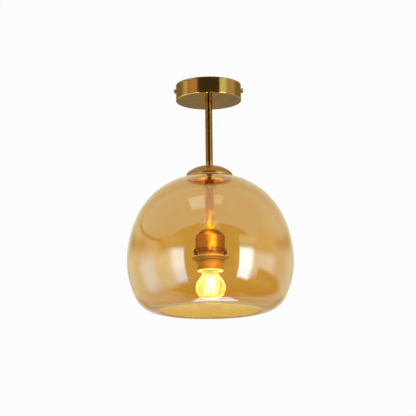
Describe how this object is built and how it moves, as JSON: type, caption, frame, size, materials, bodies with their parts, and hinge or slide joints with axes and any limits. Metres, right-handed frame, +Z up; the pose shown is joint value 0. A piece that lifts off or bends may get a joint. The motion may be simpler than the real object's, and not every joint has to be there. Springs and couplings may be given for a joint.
{
  "type": "ceiling light",
  "caption": "Ceiling light: round brass canopy on a short stem, large amber glass shade open at the bottom, and a lampholder with a globe bulb that unscrews.",
  "frame": {"origin": "centre of the plane where the ceiling bracket lies on the ceiling", "axes": "+Z up into the ceiling, so the lamp hangs towards -Z; the side screws of the canopy lie along X and the terminals sit towards +Y"},
  "size_m": [0.2504, 0.2504, 0.3498],
  "materials": {
    "satin_brass": "satin gold",
    "plain_brass": "bare",
    "zinc_steel": "zinc plated",
    "tinned_copper": "tinned",
    "nickel": "nickel plated",
    "solder": "dull",
    "ivory_plastic": "matte",
    "holder_plastic": "satin, gold tone",
    "brown_insulation": "matte",
    "blue_insulation": "matte",
    "earth_insulation": "matte",
    "gasket_rubber": "matte",
    "amber_glass": "glossy amber, half mirrored",
    "bulb_glass": "glossy, faint amber tint",
    "clear_glass": "glossy",
    "black_glass": null,
    "ceramic": null,
    "filament": "silicone over phosphor, lit",
    "board": "matte"
  },
  "bodies": {
    "lamp": {"ceiling_bracket": "zinc_steel", "earth_screw": "plain_brass", "earth_washer": "zinc_steel", "earth_tag": "tinned_copper", "terminal_block": "ivory_plastic", "terminal_clamps": "plain_brass", "terminal_screws": "zinc_steel", "block_screw": "zinc_steel", "canopy": "satin_brass", "canopy_washer": "zinc_steel", "canopy_nut": "plain_brass", "top_nipple": "zinc_steel", "nipple_bush": "ivory_plastic", "upper_stem": "satin_brass", "live_lead": "brown_insulation", "neutral_lead": "blue_insulation", "earth_lead": "earth_insulation", "cap_dome": "satin_brass", "cap_spacer": "zinc_steel", "clamp_washer": "zinc_steel", "upper_gasket": "gasket_rubber", "glass_shade": "amber_glass", "lower_gasket": "gasket_rubber", "clamp_disc": "satin_brass", "clamp_nut": "satin_brass", "middle_nipple": "zinc_steel", "lower_stem": "satin_brass", "bottom_nipple": "zinc_steel", "socket_cup": "satin_brass", "holder_cover": "holder_plastic", "holder_core": "ceramic", "screw_shell": "plain_brass", "centre_contact": "plain_brass", "holder_screws": "zinc_steel", "holder_skirt": "holder_plastic", "shade_ring": "holder_plastic"},
    "bulb_tip": {"tip_contact": "solder"},
    "bulb": {"bulb_cap": "nickel", "bulb_insulator": "black_glass", "bulb_glass": "bulb_glass", "bulb_mount": "clear_glass", "support_wires": "nickel", "filaments": "filament", "driver_board": "board"},
    "left_washer": {"knob_washer_left": "satin_brass"},
    "left_screw": {"side_screw_left": "satin_brass"},
    "right_washer": {"knob_washer_right": "satin_brass"},
    "right_screw": {"side_screw_right": "satin_brass"}
  },
  "joints": [
    {"name": "bulb_lift", "type": "slide", "parent": "lamp", "child": "bulb_tip", "axis": [0, 0, -1], "range_m": [0, 0.01816]},
    {"name": "bulb_turn", "type": "hinge", "parent": "bulb_tip", "child": "bulb", "pos_m": [0, 0, -0.27], "axis": [0, 0, -1], "range_deg": [0, 1800]},
    {"name": "left_screw_lift", "type": "slide", "parent": "lamp", "child": "left_washer", "axis": [-1, 0, 0], "range_m": [0, 0.0056]},
    {"name": "left_screw_turn", "type": "hinge", "parent": "left_washer", "child": "left_screw", "pos_m": [-0.05, 0, -0.0093], "axis": [-1, 0, 0], "range_deg": [0, 2900]},
    {"name": "right_screw_lift", "type": "slide", "parent": "lamp", "child": "right_washer", "axis": [1, 0, 0], "range_m": [0, 0.0056]},
    {"name": "right_screw_turn", "type": "hinge", "parent": "right_washer", "child": "right_screw", "pos_m": [0.05, 0, -0.0093], "axis": [1, 0, 0], "range_deg": [0, 2900]}
  ],
  "couplings": [
    {"joint": "bulb_lift", "follows": "bulb_turn", "m_per_rad": 0.00057751},
    {"joint": "left_screw_turn", "follows": "left_screw_lift", "rad_per_m": 8976},
    {"joint": "right_screw_turn", "follows": "right_screw_lift", "rad_per_m": 8976}
  ]
}
